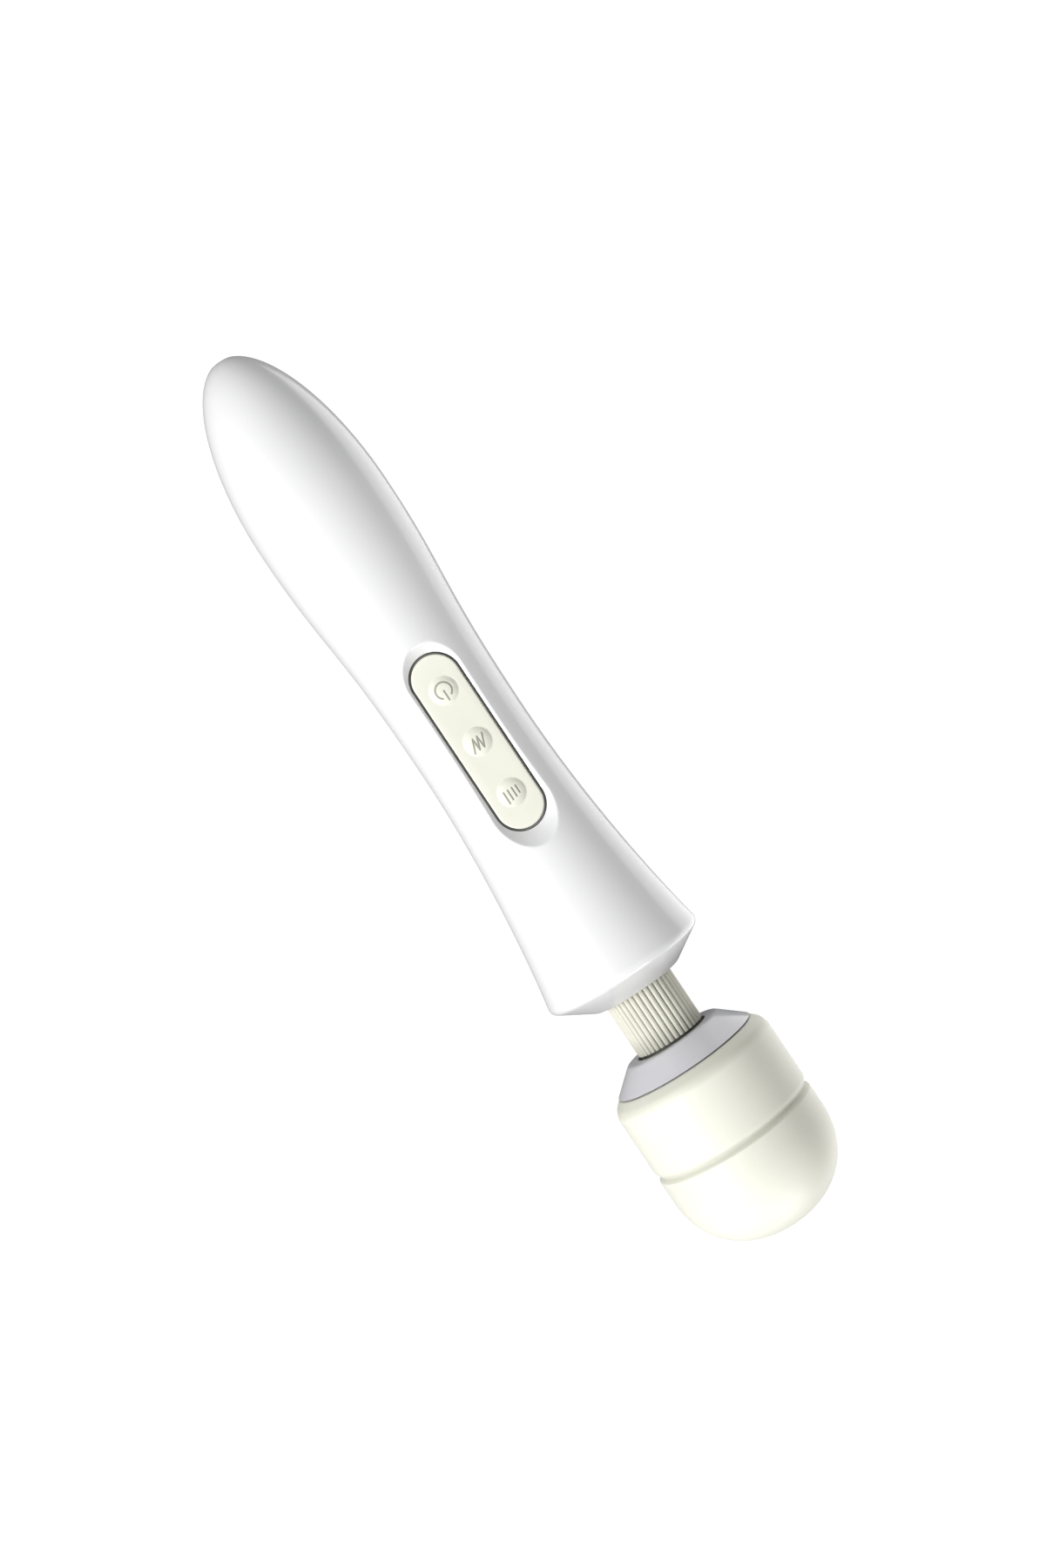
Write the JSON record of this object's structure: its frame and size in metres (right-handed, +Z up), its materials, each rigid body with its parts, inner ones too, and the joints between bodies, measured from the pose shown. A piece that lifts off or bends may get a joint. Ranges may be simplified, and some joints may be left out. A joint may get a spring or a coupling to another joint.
{
  "type": "handheld wand massager",
  "caption": "Cordless wand massager: waisted glossy handle with a sunk three-keypad, flexible ribbed neck, and a domed cream silicone head with a groove.",
  "frame": {"origin": "on the surface that the wand lies on, under the middle of its length and on its axis", "axes": "+X along the wand's axis towards the head, +Z up out of the keypad, +Y to the left seen from the tail"},
  "size_m": [0.3456, 0.06, 0.06],
  "materials": {
    "white_shell": "glossy white ABS with a few faint marks of use",
    "bezel_plastic": "satin grey plastic",
    "keypad_silicone": "matt cream silicone",
    "neck_silicone": "matt cream silicone, ribbed lengthwise",
    "head_silicone": "satin cream silicone",
    "dark_rubber": "black rubber",
    "foam": "grey foam",
    "dark_plastic": "matt black plastic",
    "grey_plastic": "matt light grey plastic",
    "nylon": "natural nylon",
    "circuit_board": "green solder mask",
    "capacitor_can": "sleeved aluminium",
    "red_insulation": "PVC wire insulation",
    "black_insulation": "PVC wire insulation",
    "cell_wrap": "blue heat-shrink wrap on lithium cells",
    "nickel": "nickel",
    "brass_parts": "brass",
    "copper": "copper",
    "steel": "zinc-plated steel",
    "plated_steel": "drawn steel can",
    "weight_steel": "pressed steel",
    "laminated_iron": "laminated iron",
    "magnet": "ferrite magnet",
    "carbon": "carbon brush",
    "bearing_bronze": "sintered bronze"
  },
  "bodies": {
    "handle": {"front_shell": "white_shell", "rear_shell": "white_shell", "shell_screws": "steel", "socket_bezel": "bezel_plastic", "charge_jack": "dark_plastic", "jack_pin": "nickel", "jack_board": "circuit_board", "jack_leads": "red_insulation", "battery_cells": "cell_wrap", "battery_straps": "nickel", "battery_tray": "dark_plastic", "battery_foam": "foam", "battery_leads": "black_insulation", "main_board": "circuit_board", "board_screws": "steel", "controller_chip": "dark_plastic", "motor_driver": "dark_plastic", "capacitors": "capacitor_can", "cable_header": "nylon", "tact_switches": "dark_plastic", "keypad_pad": "keypad_silicone", "keypad_frame": "grey_plastic", "neck_base": "dark_plastic", "handle_cable": "black_insulation"},
    "neck": {"neck_sleeve": "neck_silicone", "neck_spring": "steel", "cable_guide": "nylon", "neck_cable": "black_insulation"},
    "head": {"head_collar": "white_shell", "neck_hub": "dark_plastic", "hub_screws": "steel", "head_housing": "grey_plastic", "housing_screws": "steel", "head_cap": "head_silicone", "motor_can": "plated_steel", "motor_end_cap": "nylon", "motor_terminals": "brass_parts", "motor_magnets": "magnet", "motor_brushes": "carbon", "front_bearing": "bearing_bronze", "rear_bearing": "bearing_bronze", "motor_mounts": "dark_rubber"},
    "rotor": {"motor_shaft": "steel", "armature": "laminated_iron", "windings": "copper", "commutator": "copper", "eccentric_weight": "weight_steel", "weight_screw": "steel"},
    "power_key": {"power_button": "keypad_silicone", "power_switch_stem": "grey_plastic"},
    "pattern_key": {"pattern_button": "keypad_silicone", "pattern_switch_stem": "grey_plastic"},
    "speed_key": {"speed_button": "keypad_silicone", "speed_switch_stem": "grey_plastic"}
  },
  "joints": [
    {"name": "neck_pitch", "type": "hinge", "parent": "handle", "child": "neck", "pos_m": [0.082, 0, 0.03], "axis": [0, 1, 0], "range_deg": [-15, 15], "stiffness_Nm_per_rad": 3, "deforming": ["neck_sleeve", "neck_spring", "neck_cable"]},
    {"name": "neck_yaw", "type": "hinge", "parent": "neck", "child": "head", "pos_m": [0.09555, 0, 0.03], "axis": [0, 0, 1], "range_deg": [-15, 15], "stiffness_Nm_per_rad": 3, "deforming": ["neck_sleeve", "neck_spring", "neck_cable"]},
    {"name": "motor_spin", "type": "hinge", "parent": "head", "child": "rotor", "pos_m": [0.1272, 0, 0.03], "axis": [1, 0, 0], "continuous": true},
    {"name": "power_press", "type": "slide", "parent": "handle", "child": "power_key", "axis": [0, 0, -1], "range_m": [0, 0.0005], "stiffness_N_per_m": 2000},
    {"name": "pattern_press", "type": "slide", "parent": "handle", "child": "pattern_key", "axis": [0, 0, -1], "range_m": [0, 0.0005], "stiffness_N_per_m": 2000},
    {"name": "speed_press", "type": "slide", "parent": "handle", "child": "speed_key", "axis": [0, 0, -1], "range_m": [0, 0.0005], "stiffness_N_per_m": 2000}
  ]
}
